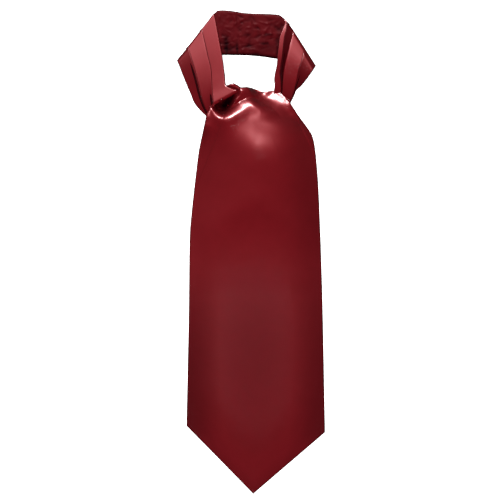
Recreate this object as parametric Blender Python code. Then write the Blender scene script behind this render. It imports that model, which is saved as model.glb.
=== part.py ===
"""Silk cravat, tied once and laid flat on a surface. Solids only, in metres, +Z up.

The origin is on the surface, under the middle of the cravat's outline.
+Y runs up to the back of the neck, +X to the right, +Z up from the surface.
Every piece is a slab of cloth: a grid laid out in plan, raised to its top, with its underside below it.
"""
import bmesh
import bpy
import numpy as np

# ---- driving sizes ----
CLOTH = 0.0024            # a blade: satin face, interlining and satin back
SEAM_GAP = 0.0006         # air between one layer and the next
BAND_CLOTH = 0.0030       # the neck band: three pleats stitched flat
BAND_LIFT = 0.0038        # height at which a side stretch lies on the end of the back stretch
BAND_FOOT_Y = 0.2058      # the side stretches have left the back stretch below this line
BAND_RAMP = 0.012         # length over which they come down to the surface
CREASE_SOLID = 0.0023     # depth of the fold at each crease, solid down to the surface
CREASE_ROUND = 0.0037     # width over which the fold rounds down to the crease
CREASE_DROP = 0.75        # share of its height that the fold has lost there
EDGE = 0.0006             # how far a folded edge is rounded down
EDGE_ROUND = 0.0020       # width of that rounding on the neck band
STEEP = 2.0               # most that a steep slope thickens a wall, measured straight down
PROBE = 0.0004            # step used to measure a slope
LOOK = 0.0022             # how far round a point the space under the front blade is measured
FREE_RISE = 3.0           # how steeply a hidden layer may rise again once it is out from under it

# ---- outline of the front blade, seen from above: x, y ----
BLADE_TOP = (
    (-0.0482, 0.1463), (-0.0450, 0.1530), (-0.0400, 0.1601), (-0.0314, 0.1651), (-0.0227, 0.1698),
    (-0.0168, 0.1727), (-0.0125, 0.1754), (-0.0087, 0.1771), (-0.0044, 0.1777), (0.0010, 0.1771),
    (0.0075, 0.1750), (0.0143, 0.1727), (0.0205, 0.1737), (0.0275, 0.1736), (0.0341, 0.1698),
    (0.0399, 0.1646), (0.0440, 0.1564),
)
BLADE_LEFT = (
    (-0.0482, 0.1463), (-0.0508, 0.1341), (-0.0562, 0.1104), (-0.0603, 0.0780), (-0.0641, 0.0434),
    (-0.0663, 0.0132), (-0.0672, -0.0624), (-0.0685, -0.1272), (-0.0697, -0.1874),
)
BLADE_RIGHT = (
    (0.0440, 0.1564), (0.0515, 0.1464), (0.0604, 0.1349), (0.0664, 0.1250), (0.0696, 0.1084),
    (0.0723, 0.0780), (0.0739, 0.0456), (0.0758, -0.0041), (0.0777, -0.0732), (0.0800, -0.1944),
)
BLADE_FOOT = ((-0.0697, -0.1874), (0.0024, -0.2609), (0.0800, -0.1944))

# ---- cross-sections of the front blade: where, rise of its crown, width of its shoulder ----
BLADE_SECTIONS = (
    # y, crown, shoulder
    (0.1780, 0.0190, 0.052),
    (0.1600, 0.0205, 0.052),
    (0.1400, 0.0240, 0.052),
    (0.1200, 0.0272, 0.054),
    (0.1000, 0.0280, 0.056),
    (0.0800, 0.0252, 0.054),
    (0.0550, 0.0185, 0.050),
    (0.0250, 0.0112, 0.044),
    (-0.0050, 0.0062, 0.032),
    (-0.0350, 0.0038, 0.020),
    (-0.0600, 0.0030, 0.011),
    (-0.2700, 0.0030, 0.011),
)
SHOULDER_POWER = 0.70     # how fast a shoulder rises from the edge
# how far the cloth rolls down along its top line, where it comes up out of the loop, at even spacing
TOP_ROLL = (0.0000, 0.0035, 0.0020, 0.0000, 0.0030, 0.0080, 0.0085, 0.0080, 0.0075, 0.0060, 0.0030, 0.0000)
TOP_ROLL_WIDTH = 0.0055

# ---- folds of the front blade: path in plan, heights along it, width to its left and to its right ----
FOLDS = (
    # name, path, heights, left width, right width
    ("ridge", ((-0.0179, 0.1665), (-0.0103, 0.1750), (-0.0044, 0.1765), (0.0075, 0.1728), (0.0205, 0.1670),
               (0.0345, 0.1606), (0.0431, 0.1540)),
     (0.0000, 0.0020, 0.0035, 0.0035, 0.0025, 0.0010), 0.0050, 0.0070),
    ("valley", ((-0.0200, 0.1645), (-0.0087, 0.1655), (-0.0011, 0.1660), (0.0075, 0.1638), (0.0161, 0.1595),
                (0.0269, 0.1525), (0.0388, 0.1428)),
     (-0.0020, -0.0060, -0.0055, -0.0040, -0.0020, 0.0000), 0.0065, 0.0080),
    ("lip", ((-0.0422, 0.1568), (-0.0395, 0.1498), (-0.0346, 0.1460), (-0.0292, 0.1444), (-0.0227, 0.1455),
             (-0.0152, 0.1493), (-0.0087, 0.1541), (-0.0022, 0.1575), (0.0026, 0.1555), (0.0053, 0.1482),
             (0.0075, 0.1385)),
     (0.0005, 0.0025, 0.0032, 0.0034, 0.0034, 0.0030, 0.0012), 0.0040, 0.0055),
    ("hollow", ((-0.0330, 0.1550), (-0.0271, 0.1601), (-0.0217, 0.1655), (-0.0150, 0.1722)),
     (-0.0105, -0.0130, -0.0120, -0.0090), 0.0070, 0.0060),
    ("over left stretch", ((-0.0505, 0.1380), (-0.0470, 0.1480), (-0.0420, 0.1580)),
     (0.0040, 0.0066, 0.0040), 0.0090, 0.0060),
    ("over right stretch", ((0.0560, 0.1420), (0.0450, 0.1550), (0.0330, 0.1680)),
     (0.0010, 0.0042, 0.0015), 0.0090, 0.0090),
)

# ---- hidden layers ----
CORE_SECTIONS = (
    # y, left, right
    (0.1625, -0.0050, 0.0195),
    (0.1560, -0.0350, 0.0310),
    (0.1480, -0.0425, 0.0390),
    (0.1380, -0.0430, 0.0480),
    (0.1200, -0.0450, 0.0560),
    (0.0800, -0.0500, 0.0620),
    (0.0200, -0.0540, 0.0600),
)
CORE_ROUND = 0.0060       # width of the core's rounded edge
CORE_DROP = 0.0030        # how far it rounds down
BACK_BLADE_SECTIONS = (
    # y, left, right
    (0.0190, -0.0530, 0.0600),
    (-0.1480, -0.0550, 0.0630),
)
BACK_BLADE_TIP = (0.0030, -0.2080)

# ---- the stretch that goes round behind the crossing and comes up at the throat: x, y ----
WRAP_TOP = ((-0.0250, 0.1802), (-0.0230, 0.1809), (-0.0187, 0.1817), (-0.0150, 0.1798), (-0.0105, 0.1768),
            (-0.0044, 0.1746), (0.0053, 0.1725), (0.0170, 0.1698))
WRAP_FOOT = ((-0.0246, 0.1798), (-0.0211, 0.1782), (-0.0173, 0.1765), (-0.0125, 0.1744), (-0.0087, 0.1710),
             (-0.0011, 0.1682), (0.0075, 0.1655), (0.0170, 0.1644))
WRAP_HEIGHTS = (0.0140, 0.0162, 0.0120, 0.0048, 0.0048, 0.0055, 0.0065, 0.0070, 0.0070, 0.0070)
WRAP_ROUND = 0.0040       # width of the fold's rounded edge
WRAP_DROP = 0.0032        # how far it rounds down

# ---- the stretch behind the neck, its inside facing up ----
BACK_TOP = ((-0.0385, 0.2562), (-0.0373, 0.2592), (-0.0342, 0.2611), (-0.0231, 0.2608), (-0.0063, 0.2583),
            (0.0123, 0.2574), (0.0247, 0.2570), (0.0296, 0.2562), (0.0345, 0.2525))
BACK_FOOT = ((-0.0677, 0.2128), (-0.0305, 0.2128), (-0.0063, 0.2124), (0.0061, 0.2116), (0.0184, 0.2101),
             (0.0278, 0.2088), (0.0610, 0.2066))
BACK_LEFT = ((-0.0385, 0.2562), (-0.0390, 0.2490), (-0.0440, 0.2425), (-0.0677, 0.2128))
BACK_RIGHT = ((0.0345, 0.2525), (0.0358, 0.2455), (0.0400, 0.2388), (0.0610, 0.2066))
BACK_ROUND = 0.0050       # width over which the lower edge curls down
BACK_DROP = 0.0019        # how far it curls down
CRUMPLES = (
    # path, height, width
    (((-0.0300, 0.2500), (-0.0120, 0.2470)), 0.0005, 0.0035),
    (((-0.0270, 0.2380), (-0.0020, 0.2350)), -0.0006, 0.0030),
    (((-0.0060, 0.2500), (0.0160, 0.2440)), -0.0005, 0.0035),
    (((0.0020, 0.2330), (0.0240, 0.2320)), 0.0005, 0.0030),
    (((-0.0250, 0.2300), (-0.0260, 0.2180)), -0.0008, 0.0025),
    (((-0.0155, 0.2300), (-0.0150, 0.2180)), -0.0008, 0.0025),
    (((0.0130, 0.2270), (0.0250, 0.2230)), -0.0006, 0.0030),
)

# ---- side stretches: lines from the crease down to the knot, with the cloth's height along each ----
LEFT_INNER = ((-0.0398, 0.2578), (-0.0373, 0.2465), (-0.0323, 0.2205), (-0.0305, 0.2111), (-0.0293, 0.2025),
              (-0.0277, 0.1903), (-0.0267, 0.1802), (-0.0217, 0.1771), (-0.0173, 0.1756), (-0.0145, 0.1748))
LEFT_PLEAT_1 = ((-0.0531, 0.2412), (-0.0497, 0.2270), (-0.0463, 0.2119), (-0.0428, 0.1968), (-0.0420, 0.1817),
                (-0.0410, 0.1650), (-0.0402, 0.1612))
LEFT_PLEAT_2 = ((-0.0677, 0.2225), (-0.0649, 0.2121), (-0.0610, 0.1992), (-0.0573, 0.1852), (-0.0542, 0.1719),
                (-0.0504, 0.1590), (-0.0465, 0.1503))
LEFT_OUTER = ((-0.0799, 0.2068), (-0.0746, 0.1926), (-0.0695, 0.1801), (-0.0653, 0.1703), (-0.0612, 0.1605),
              (-0.0545, 0.1523), (-0.0488, 0.1469), (-0.0454, 0.1439))
LEFT_STRETCH = (
    # line, heights along it
    (LEFT_INNER, (0.0062, 0.0056, 0.0050, 0.0100, 0.0105)),
    (LEFT_PLEAT_1, (0.0066, 0.0060, 0.0056, 0.0092, 0.0135)),
    (LEFT_PLEAT_1, (0.0080, 0.0074, 0.0070, 0.0100, 0.0120)),
    (LEFT_PLEAT_2, (0.0076, 0.0070, 0.0058, 0.0054, 0.0052)),
    (LEFT_PLEAT_2, (0.0090, 0.0084, 0.0072, 0.0060, 0.0056)),
    (LEFT_OUTER, (0.0084, 0.0070, 0.0054, 0.0048, 0.0048)),
)
RIGHT_LOOSE = ((0.0358, 0.2514), (0.0365, 0.2465), (0.0328, 0.2372), (0.0308, 0.2310), (0.0296, 0.2205),
               (0.0284, 0.2111), (0.0278, 0.2025), (0.0254, 0.1909), (0.0249, 0.1849), (0.0256, 0.1801),
               (0.0244, 0.1734), (0.0226, 0.1655))
RIGHT_INNER = ((0.0383, 0.2492), (0.0381, 0.2444), (0.0376, 0.2400), (0.0358, 0.2328), (0.0346, 0.2236),
               (0.0333, 0.2111), (0.0317, 0.2011), (0.0308, 0.1935), (0.0316, 0.1860), (0.0320, 0.1790),
               (0.0318, 0.1730), (0.0300, 0.1644))
RIGHT_PLEAT_1 = ((0.0457, 0.2391), (0.0437, 0.2313), (0.0415, 0.2238), (0.0400, 0.2168), (0.0377, 0.2076),
                 (0.0356, 0.1979), (0.0345, 0.1892), (0.0341, 0.1817), (0.0338, 0.1730), (0.0326, 0.1636))
RIGHT_PLEAT_2 = ((0.0575, 0.2205), (0.0557, 0.2119), (0.0539, 0.2043), (0.0514, 0.1968), (0.0496, 0.1881),
                 (0.0481, 0.1817), (0.0461, 0.1741), (0.0431, 0.1659), (0.0380, 0.1596))
RIGHT_OUTER = ((0.0699, 0.2011), (0.0688, 0.1993), (0.0626, 0.1900), (0.0544, 0.1796), (0.0487, 0.1744),
               (0.0461, 0.1683), (0.0425, 0.1610), (0.0402, 0.1560))
SLIT = 0.0006             # half the width of the slit between the loose inner layer and the pleats
RIGHT_STRETCH = (
    # line, heights along it
    (RIGHT_LOOSE, (0.0060, 0.0056, 0.0044, 0.0036, 0.0034)),
    (RIGHT_INNER, (0.0054, 0.0050, 0.0046, 0.0026, 0.0026)),
    (RIGHT_INNER, (0.0080, 0.0080, 0.0066, 0.0052, 0.0044)),
    (RIGHT_PLEAT_1, (0.0076, 0.0070, 0.0056, 0.0042, 0.0036)),
    (RIGHT_PLEAT_1, (0.0090, 0.0084, 0.0070, 0.0054, 0.0044)),
    (RIGHT_PLEAT_2, (0.0086, 0.0076, 0.0060, 0.0046, 0.0040)),
    (RIGHT_PLEAT_2, (0.0098, 0.0088, 0.0074, 0.0056, 0.0048)),
    (RIGHT_OUTER, (0.0086, 0.0070, 0.0054, 0.0044, 0.0042)),
)
PLEAT_STEP = 0.0003       # half the width of the step at a pleat's free edge
PLEAT_COLUMNS = (0.10, 0.50, 0.90)                  # shares of a pleat's width
CREASE_ROWS = (0.0, 0.010, 0.025, 0.042, 0.052)     # shares of a stretch's length, near its crease

# ---- how finely each piece is laid out ----
BLADE_COLUMNS = 38
BLADE_ROWS = 36
KNOT_ROWS = 26            # of these, the rows over the knot
EDGE_CROWDING = 0.35      # share of the blade's columns drawn towards its edges
KNOT_CROWDING = 2.2       # power that draws the blade's rows towards the knot
FOOT_ROW = 0.006          # share of the blade's length left to the row along its foot
TOP_FADE = 4.0            # how soon the pull of the top line dies out down the blade
FOOT_FADE = 3.0           # how late the pull of the foot line comes in
CORE_COLUMNS = 14
BACK_BLADE_COLUMNS = 9
BACK_BLADE_ROWS = 12
WRAP_COLUMNS = 25
BACK_COLUMNS = 23
BACK_ROWS = 10
STRETCH_ROWS = 16
STRETCH_START = 0.10      # share of a stretch's length where its even rows begin
CURVE_STEPS = 10

FACE_SATIN = ("burgundy satin, face", (0.147, 0.008, 0.012, 1.0), 0.38)
BACK_SATIN = ("burgundy satin, inside", (0.105, 0.006, 0.009, 1.0), 0.50)


def curve_through(points):
    """A smooth run of points through the given ones."""
    given = np.array(points, dtype=float)
    ends = np.vstack([2 * given[0] - given[1], given, 2 * given[-1] - given[-2]])
    run = []
    for i in range(1, len(ends) - 2):
        before, here, after, beyond = ends[i - 1:i + 3]
        for t in np.arange(CURVE_STEPS) / CURVE_STEPS:
            run.append(0.5 * (2 * here + (after - before) * t
                              + (2 * before - 5 * here + 4 * after - beyond) * t ** 2
                              + (3 * here - before - 3 * after + beyond) * t ** 3))
    run.append(ends[-2])
    return np.array(run)


def walk(run, share):
    """Points at these shares of a run's length."""
    lengths = np.concatenate([[0.0], np.cumsum(np.linalg.norm(np.diff(run, axis=0), axis=1))])
    share = np.asarray(share) * lengths[-1]
    return np.stack([np.interp(share, lengths, run[:, axis]) for axis in range(2)], axis=-1)


def edged(count, near_edge, inside):
    """Shares from 0 to 1: both ends, one just inside each end, and the rest evenly between."""
    even = np.linspace(inside, 1 - inside, count)
    return np.concatenate([[0.0, near_edge], even, [1 - near_edge, 1.0]])


def along_and_across(plan, run):
    """For each plan point, its share of the way along the run and its distance, positive to the left."""
    start = run[:-1]
    step = np.diff(run, axis=0)
    length = np.linalg.norm(step, axis=1)
    reach = plan[..., None, :] - start
    t = np.clip((reach * step).sum(-1) / length ** 2, 0.0, 1.0)
    distance = np.linalg.norm(reach - t[..., None] * step, axis=-1)
    side = step[:, 0] * reach[..., 1] - step[:, 1] * reach[..., 0]
    nearest = distance.argmin(axis=-1)[..., None]
    done = np.concatenate([[0.0], np.cumsum(length)])
    share = (done[:-1] + t * length) / done[-1]
    signed = np.where(side >= 0, distance, -distance)
    return np.take_along_axis(share, nearest, -1)[..., 0], np.take_along_axis(signed, nearest, -1)[..., 0]


def spread(values, share):
    """Values given at even spacing, read at these shares of the way."""
    return np.interp(share, np.linspace(0.0, 1.0, len(values)), values)


def section(table, y, column):
    """One column of a table of cross-sections, read at y."""
    rows = sorted(table)
    return np.interp(y, [row[0] for row in rows], [row[column] for row in rows])


def patch(s, t, left, right, top, foot, top_fade, foot_fade):
    """A sheet ruled from its left edge to its right edge, pulled out to its top line and its foot line."""
    s = s[None, :, None]
    left_side = walk(left, t)[:, None]
    right_side = walk(right, t)[:, None]
    top_pull = walk(top, s[0, :, 0]) - ((1 - s[0]) * left[0] + s[0] * right[0])
    foot_pull = walk(foot, s[0, :, 0]) - ((1 - s[0]) * left[-1] + s[0] * right[-1])
    t = t[:, None, None]
    return (1 - s) * left_side + s * right_side + (1 - t) ** top_fade * top_pull + t ** foot_fade * foot_pull


def rounded(depth, radius):
    """How far a face has dropped at this depth inside a rounded edge, as a share of the radius."""
    near = np.clip(1 - depth / radius, 0.0, 1.0)
    return 1 - np.sqrt(1 - near ** 2)


# ---- the front blade's surface ----
BLADE_LEFT_RUN = curve_through(BLADE_LEFT)
BLADE_RIGHT_RUN = curve_through(BLADE_RIGHT)
BLADE_TOP_RUN = curve_through(BLADE_TOP)
BLADE_FOOT_RUN = np.array(BLADE_FOOT)


def blade_top(plan):
    """Height of the front blade's face above the surface."""
    edges = (BLADE_LEFT_RUN, BLADE_RIGHT_RUN, BLADE_FOOT_RUN)
    inside = np.min([np.abs(along_and_across(plan, run)[1]) for run in edges], axis=0)
    crown = section(BLADE_SECTIONS, plan[..., 1], 1)
    shoulder = section(BLADE_SECTIONS, plan[..., 1], 2)
    reach = np.clip(inside / shoulder, 0.0, 1.0)
    height = CLOTH + crown * (1 - (1 - reach) ** 2) ** SHOULDER_POWER
    for name, path, heights, left_width, right_width in FOLDS:
        share, across = along_and_across(plan, curve_through(path))
        width = np.where(across >= 0, left_width, right_width)
        height += spread(heights, share) * np.exp(-(across / width) ** 2)
    share, across = along_and_across(plan, BLADE_TOP_RUN)
    height -= spread(TOP_ROLL, share) * rounded(np.maximum(-across, 0.0), TOP_ROLL_WIDTH)
    return np.maximum(height, CLOTH)


def blade_under(plan):
    """Height of the front blade's underside: one cloth below its face, measured square to it."""
    slope = 0.0
    for step in (np.array([PROBE, 0.0]), np.array([0.0, PROBE])):
        slope = slope + ((blade_top(plan + step) - blade_top(plan - step)) / (2 * PROBE)) ** 2
    thickness = CLOTH * np.minimum(np.sqrt(1 + slope), STEEP)
    return np.maximum(blade_top(plan) - thickness, 0.0)


def kept_under(plan, top):
    """The same heights, lowered where they would come too near the front blade's underside."""
    around = [plan + np.array([x, y]) for x in (-LOOK, 0.0, LOOK) for y in (-LOOK, 0.0, LOOK)]
    ceiling = np.min([blade_under(near) for near in around], axis=0) - SEAM_GAP
    outside = np.maximum(along_and_across(plan, BLADE_TOP_RUN)[1], 0.0)
    return np.minimum(top, ceiling + FREE_RISE * outside)


# ---- making a solid ----
def material(name, colour, roughness):
    made = bpy.data.materials.get(name) or bpy.data.materials.new(name)
    made.use_nodes = True
    shader = made.node_tree.nodes["Principled BSDF"]
    shader.inputs["Base Color"].default_value = colour
    shader.inputs["Roughness"].default_value = roughness
    shader.inputs["Metallic"].default_value = 0.0
    made.diffuse_color = colour
    return made


def slab(name, plan, top, under, finish, collection):
    """A closed solid between two heights over a grid of plan points (rows, columns, 2)."""
    rows, columns = plan.shape[:2]
    mesh = bpy.data.meshes.new(name)
    bm = bmesh.new()
    bmesh.ops.create_grid(bm, x_segments=columns - 1, y_segments=rows - 1, size=1.0)
    bm.verts.ensure_lookup_table()
    grid = [bm.verts[i] for i in range(rows * columns)]
    lifted = bmesh.ops.extrude_face_region(bm, geom=list(bm.faces))
    raised = [item for item in lifted["geom"] if isinstance(item, bmesh.types.BMVert)]
    partner = {(vert.co.x, vert.co.y): vert for vert in raised}
    pairs = [(vert, partner[(vert.co.x, vert.co.y)]) for vert in grid]
    for index, (low, high) in enumerate(pairs):
        row, column = divmod(index, columns)
        x, y = plan[row, column]
        low.co = (x, y, under[row, column])
        high.co = (x, y, top[row, column])
    bmesh.ops.recalc_face_normals(bm, faces=list(bm.faces))
    if bm.calc_volume(signed=True) < 0:
        bmesh.ops.reverse_faces(bm, faces=list(bm.faces))
    bmesh.ops.triangulate(bm, faces=list(bm.faces))
    bm.to_mesh(mesh)
    bm.free()
    mesh.materials.append(material(*finish))
    mesh.shade_smooth()
    piece = bpy.data.objects.new(name, mesh)
    collection.objects.link(piece)
    return piece


def lower_border(top, drop):
    """Round a slab's whole border down a little."""
    border = np.ones(top.shape, dtype=bool)
    border[1:-1, 1:-1] = False
    top[border] -= drop


# ---- the pieces ----
def front_blade(collection):
    """The front blade, one sheet in two stretches: over the knot, and flat from there to its point."""
    even = np.linspace(0.0, 1.0, BLADE_COLUMNS + 1)
    crowded = (1 - np.cos(np.pi * even)) / 2
    s = even + EDGE_CROWDING * (crowded - even)
    to_tip, from_tip = np.linalg.norm(np.diff(BLADE_FOOT_RUN, axis=0), axis=1)
    s[BLADE_COLUMNS // 2] = to_tip / (to_tip + from_tip)
    t = np.linspace(0.0, 1.0, BLADE_ROWS + 1) ** KNOT_CROWDING
    t[-2] = 1 - FOOT_ROW
    plan = patch(s, t, BLADE_LEFT_RUN, BLADE_RIGHT_RUN, BLADE_TOP_RUN, BLADE_FOOT_RUN, TOP_FADE, FOOT_FADE)
    top = blade_top(plan)
    under = blade_under(plan)
    lower_border(top, EDGE)
    over_knot = plan[:KNOT_ROWS + 1].copy()
    over_knot[-1, :, 1] += SEAM_GAP / 2
    slab("knot_front", over_knot, top[:KNOT_ROWS + 1], under[:KNOT_ROWS + 1], FACE_SATIN, collection)
    flat = plan[KNOT_ROWS:].copy()
    flat[0, :, 1] -= SEAM_GAP / 2
    slab("front_blade", flat, top[KNOT_ROWS:], under[KNOT_ROWS:], FACE_SATIN, collection)


def knot_core(collection):
    """The layers hidden inside the knot, close under the front blade."""
    y = np.array([row[0] for row in CORE_SECTIONS])
    y = np.sort(np.concatenate([y, (y[1:] + y[:-1]) / 2]))[::-1]
    s = edged(CORE_COLUMNS, 0.02, 0.06)
    left = section(CORE_SECTIONS, y, 1)[:, None]
    right = section(CORE_SECTIONS, y, 2)[:, None]
    x = left + s * (right - left)
    plan = np.stack([x, np.broadcast_to(y[:, None], x.shape)], axis=-1)
    depth = np.minimum(np.minimum(s, 1 - s) * (right - left), (y - y[-1])[:, None])
    top = kept_under(plan, blade_under(plan)) - CORE_DROP * rounded(depth, CORE_ROUND)
    return slab("knot_core", plan, np.maximum(top, CLOTH / 2), np.zeros(x.shape), FACE_SATIN, collection)


def back_blade(collection):
    """The other end of the cravat, flat on the surface under the front blade."""
    (top_y, top_left, top_right), (foot_y, foot_left, foot_right) = BACK_BLADE_SECTIONS
    left = np.array([(top_left, top_y), (foot_left, foot_y)])
    right = np.array([(top_right, top_y), (foot_right, foot_y)])
    head = np.array([left[0], right[0]])
    foot = np.array([left[1], BACK_BLADE_TIP, right[1]])
    s = edged(BACK_BLADE_COLUMNS, 0.015, 0.10)
    t = edged(BACK_BLADE_ROWS, 0.01, 0.08)
    plan = patch(s, t, left, right, head, foot, TOP_FADE, FOOT_FADE)
    top = np.full(plan.shape[:2], CLOTH)
    lower_border(top, EDGE)
    return slab("back_blade", plan, top, np.zeros(top.shape), FACE_SATIN, collection)


def knot_wrap(collection):
    """The fold that stands at the throat, behind the front blade's top edge."""
    s = np.linspace(0.0, 1.0, WRAP_COLUMNS)
    t = edged(3, 0.08, 0.25)
    upper = walk(curve_through(WRAP_TOP), s)
    lower = walk(curve_through(WRAP_FOOT), s)
    plan = upper + t[:, None, None] * (lower - upper)
    width = np.linalg.norm(upper - lower, axis=-1)
    depth = np.minimum(t, 1 - t)[:, None] * width
    top = kept_under(plan, spread(WRAP_HEIGHTS, s)) - WRAP_DROP * rounded(depth, WRAP_ROUND)
    return slab("knot_wrap", plan, top, np.zeros(top.shape), FACE_SATIN, collection)


def neck_back(collection):
    """The stretch behind the neck: crumpled, and curled down along its lower edge."""
    s = edged(BACK_COLUMNS, 0.02, 0.06)
    t = edged(BACK_ROWS, 0.03, 0.09)
    left, right, head, foot = [curve_through(line) for line in (BACK_LEFT, BACK_RIGHT, BACK_TOP, BACK_FOOT)]
    plan = patch(s, t, left, right, head, foot, 1.0, 1.0)
    top = np.full(plan.shape[:2], BAND_CLOTH)
    for path, height, width in CRUMPLES:
        share, across = along_and_across(plan, np.array(path))
        top += height * np.exp(-(across / width) ** 2)
    for run, width in ((left, EDGE_ROUND), (right, EDGE_ROUND), (head, EDGE_ROUND), (foot, BACK_ROUND)):
        depth = np.abs(along_and_across(plan, run)[1])
        top -= BACK_DROP * rounded(depth, width)
    return slab("neck_back", plan, np.maximum(top, EDGE), np.zeros(top.shape), BACK_SATIN, collection)


def side_stretch(name, lines, steps, collection):
    """A pleated stretch from its crease to the knot, each pleat stepped over the one inside it."""
    along = np.concatenate([CREASE_ROWS, np.linspace(STRETCH_START, 1.0, STRETCH_ROWS)])
    crease = [lines[0][0][0]]
    columns = []
    for index in range(0, len(lines), 2):
        (inner, inner_heights), (outer, outer_heights) = lines[index:index + 2]
        crease.append(outer[0])
        a = walk(curve_through(inner), along)
        b = walk(curve_through(outer), along)
        gap = np.linalg.norm(b - a, axis=-1)
        low = spread(inner_heights, along)
        high = spread(outer_heights, along)
        first = steps[index // 2] / gap
        last = 1 - steps[index // 2 + 1] / gap
        for share in (first, *PLEAT_COLUMNS, last):
            share = share + np.zeros(len(along))
            columns.append((a + share[:, None] * (b - a), low + share * (high - low)))
    plan = np.stack([place for place, height in columns], axis=1)
    top = np.stack([height for place, height in columns], axis=1)
    depth = np.abs(along_and_across(plan, np.array(crease))[1])
    top -= (top - EDGE) * CREASE_DROP * rounded(depth, CREASE_ROUND)
    top[:, [0, -1]] -= EDGE
    top = kept_under(plan, top)
    lift = BAND_LIFT * np.clip((plan[..., 1] - BAND_FOOT_Y) / BAND_RAMP + 1, 0.0, 1.0)
    under = np.where(depth < CREASE_SOLID, 0.0, np.minimum(lift, top - EDGE))
    return slab(name, plan, top, under, FACE_SATIN, collection)


def main():
    for item in list(bpy.data.objects):
        bpy.data.objects.remove(item, do_unlink=True)
    collection = bpy.data.collections.new("silk_cravat")
    bpy.context.scene.collection.children.link(collection)
    front_blade(collection)
    back_blade(collection)
    knot_core(collection)
    knot_wrap(collection)
    neck_back(collection)
    side_stretch("neck_left", LEFT_STRETCH, (0.0, PLEAT_STEP, PLEAT_STEP, 0.0), collection)
    side_stretch("neck_right", RIGHT_STRETCH, (0.0, SLIT, PLEAT_STEP, PLEAT_STEP, 0.0), collection)


main()
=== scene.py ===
# %% [markdown]
# # A silk cravat, tied once and laid flat
# This notebook dresses a frame of plain solids with cloth. The frame gives every piece its place and its
# size; here each stretch of cloth becomes a thin sheet with folds, creases and a satin finish.
# Everything is in metres: +Y runs up to the back of the neck, +X to the right, +Z up from the surface.

# %% Load the frame
import bmesh
import bpy
import mathutils
import numpy as np
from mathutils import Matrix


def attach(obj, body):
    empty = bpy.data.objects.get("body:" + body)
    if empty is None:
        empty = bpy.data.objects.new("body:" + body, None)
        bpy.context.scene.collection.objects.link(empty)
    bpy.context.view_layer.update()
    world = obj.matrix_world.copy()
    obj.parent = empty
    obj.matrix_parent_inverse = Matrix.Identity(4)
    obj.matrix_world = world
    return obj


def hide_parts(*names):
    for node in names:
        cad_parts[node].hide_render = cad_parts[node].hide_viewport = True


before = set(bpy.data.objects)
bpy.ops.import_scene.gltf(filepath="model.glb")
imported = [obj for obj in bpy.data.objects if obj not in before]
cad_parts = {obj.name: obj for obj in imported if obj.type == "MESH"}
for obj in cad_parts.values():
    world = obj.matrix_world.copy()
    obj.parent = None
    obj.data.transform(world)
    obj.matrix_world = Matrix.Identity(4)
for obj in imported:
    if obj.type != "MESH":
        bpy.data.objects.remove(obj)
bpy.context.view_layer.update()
print("solids:", ", ".join(sorted(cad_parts)))

# %% [markdown]
# ## Lines drawn on the surface
# Cloth is easiest to describe by lines seen from above: an outline, the free edge of a pleat, the path of a
# fold. A smooth run through a few points gives each line, and every piece is then measured from such runs.

# %% Runs, and reading values along them
CURVE_STEPS = 10


def curve_through(points):
    """A smooth run of points through the given ones."""
    given = np.array(points, dtype=float)
    ends = np.vstack([2 * given[0] - given[1], given, 2 * given[-1] - given[-2]])
    run = []
    for i in range(1, len(ends) - 2):
        before, here, after, beyond = ends[i - 1:i + 3]
        for t in np.arange(CURVE_STEPS) / CURVE_STEPS:
            run.append(0.5 * (2 * here + (after - before) * t
                              + (2 * before - 5 * here + 4 * after - beyond) * t ** 2
                              + (3 * here - before - 3 * after + beyond) * t ** 3))
    run.append(ends[-2])
    return np.array(run)


def run_length(run):
    """Length of a run, from its first point to its last."""
    return np.linalg.norm(np.diff(run, axis=0), axis=1).sum()


def walk(run, share):
    """Points at these shares of a run's length."""
    lengths = np.concatenate([[0.0], np.cumsum(np.linalg.norm(np.diff(run, axis=0), axis=1))])
    share = np.asarray(share) * lengths[-1]
    return np.stack([np.interp(share, lengths, run[:, axis]) for axis in range(run.shape[1])], axis=-1)


def spread(values, share):
    """Values given at even spacing, read smoothly at these shares of the way."""
    run = curve_through([(i / (len(values) - 1), value) for i, value in enumerate(values)])
    return np.interp(share, run[:, 0], run[:, 1])


# %% Distance from a run, and masks for sinking the cloth and for painted shade
AT_ONCE = 4000            # plan points measured in one go
SOFT_RIM = 2.0            # sharpness of a mask that fades out, and of one with a firm rim
FIRM_RIM = 4.0


def along_and_across(plan, run):
    """For each plan point, its share of the way along the run and its distance, positive to the left."""
    flat = plan.reshape(-1, 2)
    start = run[:-1]
    step = np.diff(run, axis=0)
    length = np.linalg.norm(step, axis=1)
    done = np.concatenate([[0.0], np.cumsum(length)])
    shares = []
    distances = []
    for block in np.array_split(flat, max(1, len(flat) // AT_ONCE)):
        reach = block[:, None, :] - start
        t = np.clip((reach * step).sum(-1) / length ** 2, 0.0, 1.0)
        distance = np.linalg.norm(reach - t[..., None] * step, axis=-1)
        side = step[:, 0] * reach[..., 1] - step[:, 1] * reach[..., 0]
        nearest = distance.argmin(axis=-1)[:, None]
        share = (done[:-1] + t * length) / done[-1]
        signed = np.where(side >= 0, distance, -distance)
        shares.append(np.take_along_axis(share, nearest, -1)[:, 0])
        distances.append(np.take_along_axis(signed, nearest, -1)[:, 0])
    shape = plan.shape[:-1]
    return np.concatenate(shares).reshape(shape), np.concatenate(distances).reshape(shape)


def section(table, y, column):
    """One column of a table of cross-sections, read smoothly at y."""
    rows = sorted(table)
    run = curve_through([(row[0], row[column]) for row in rows])
    return np.interp(y, run[:, 0], run[:, 1])


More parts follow.
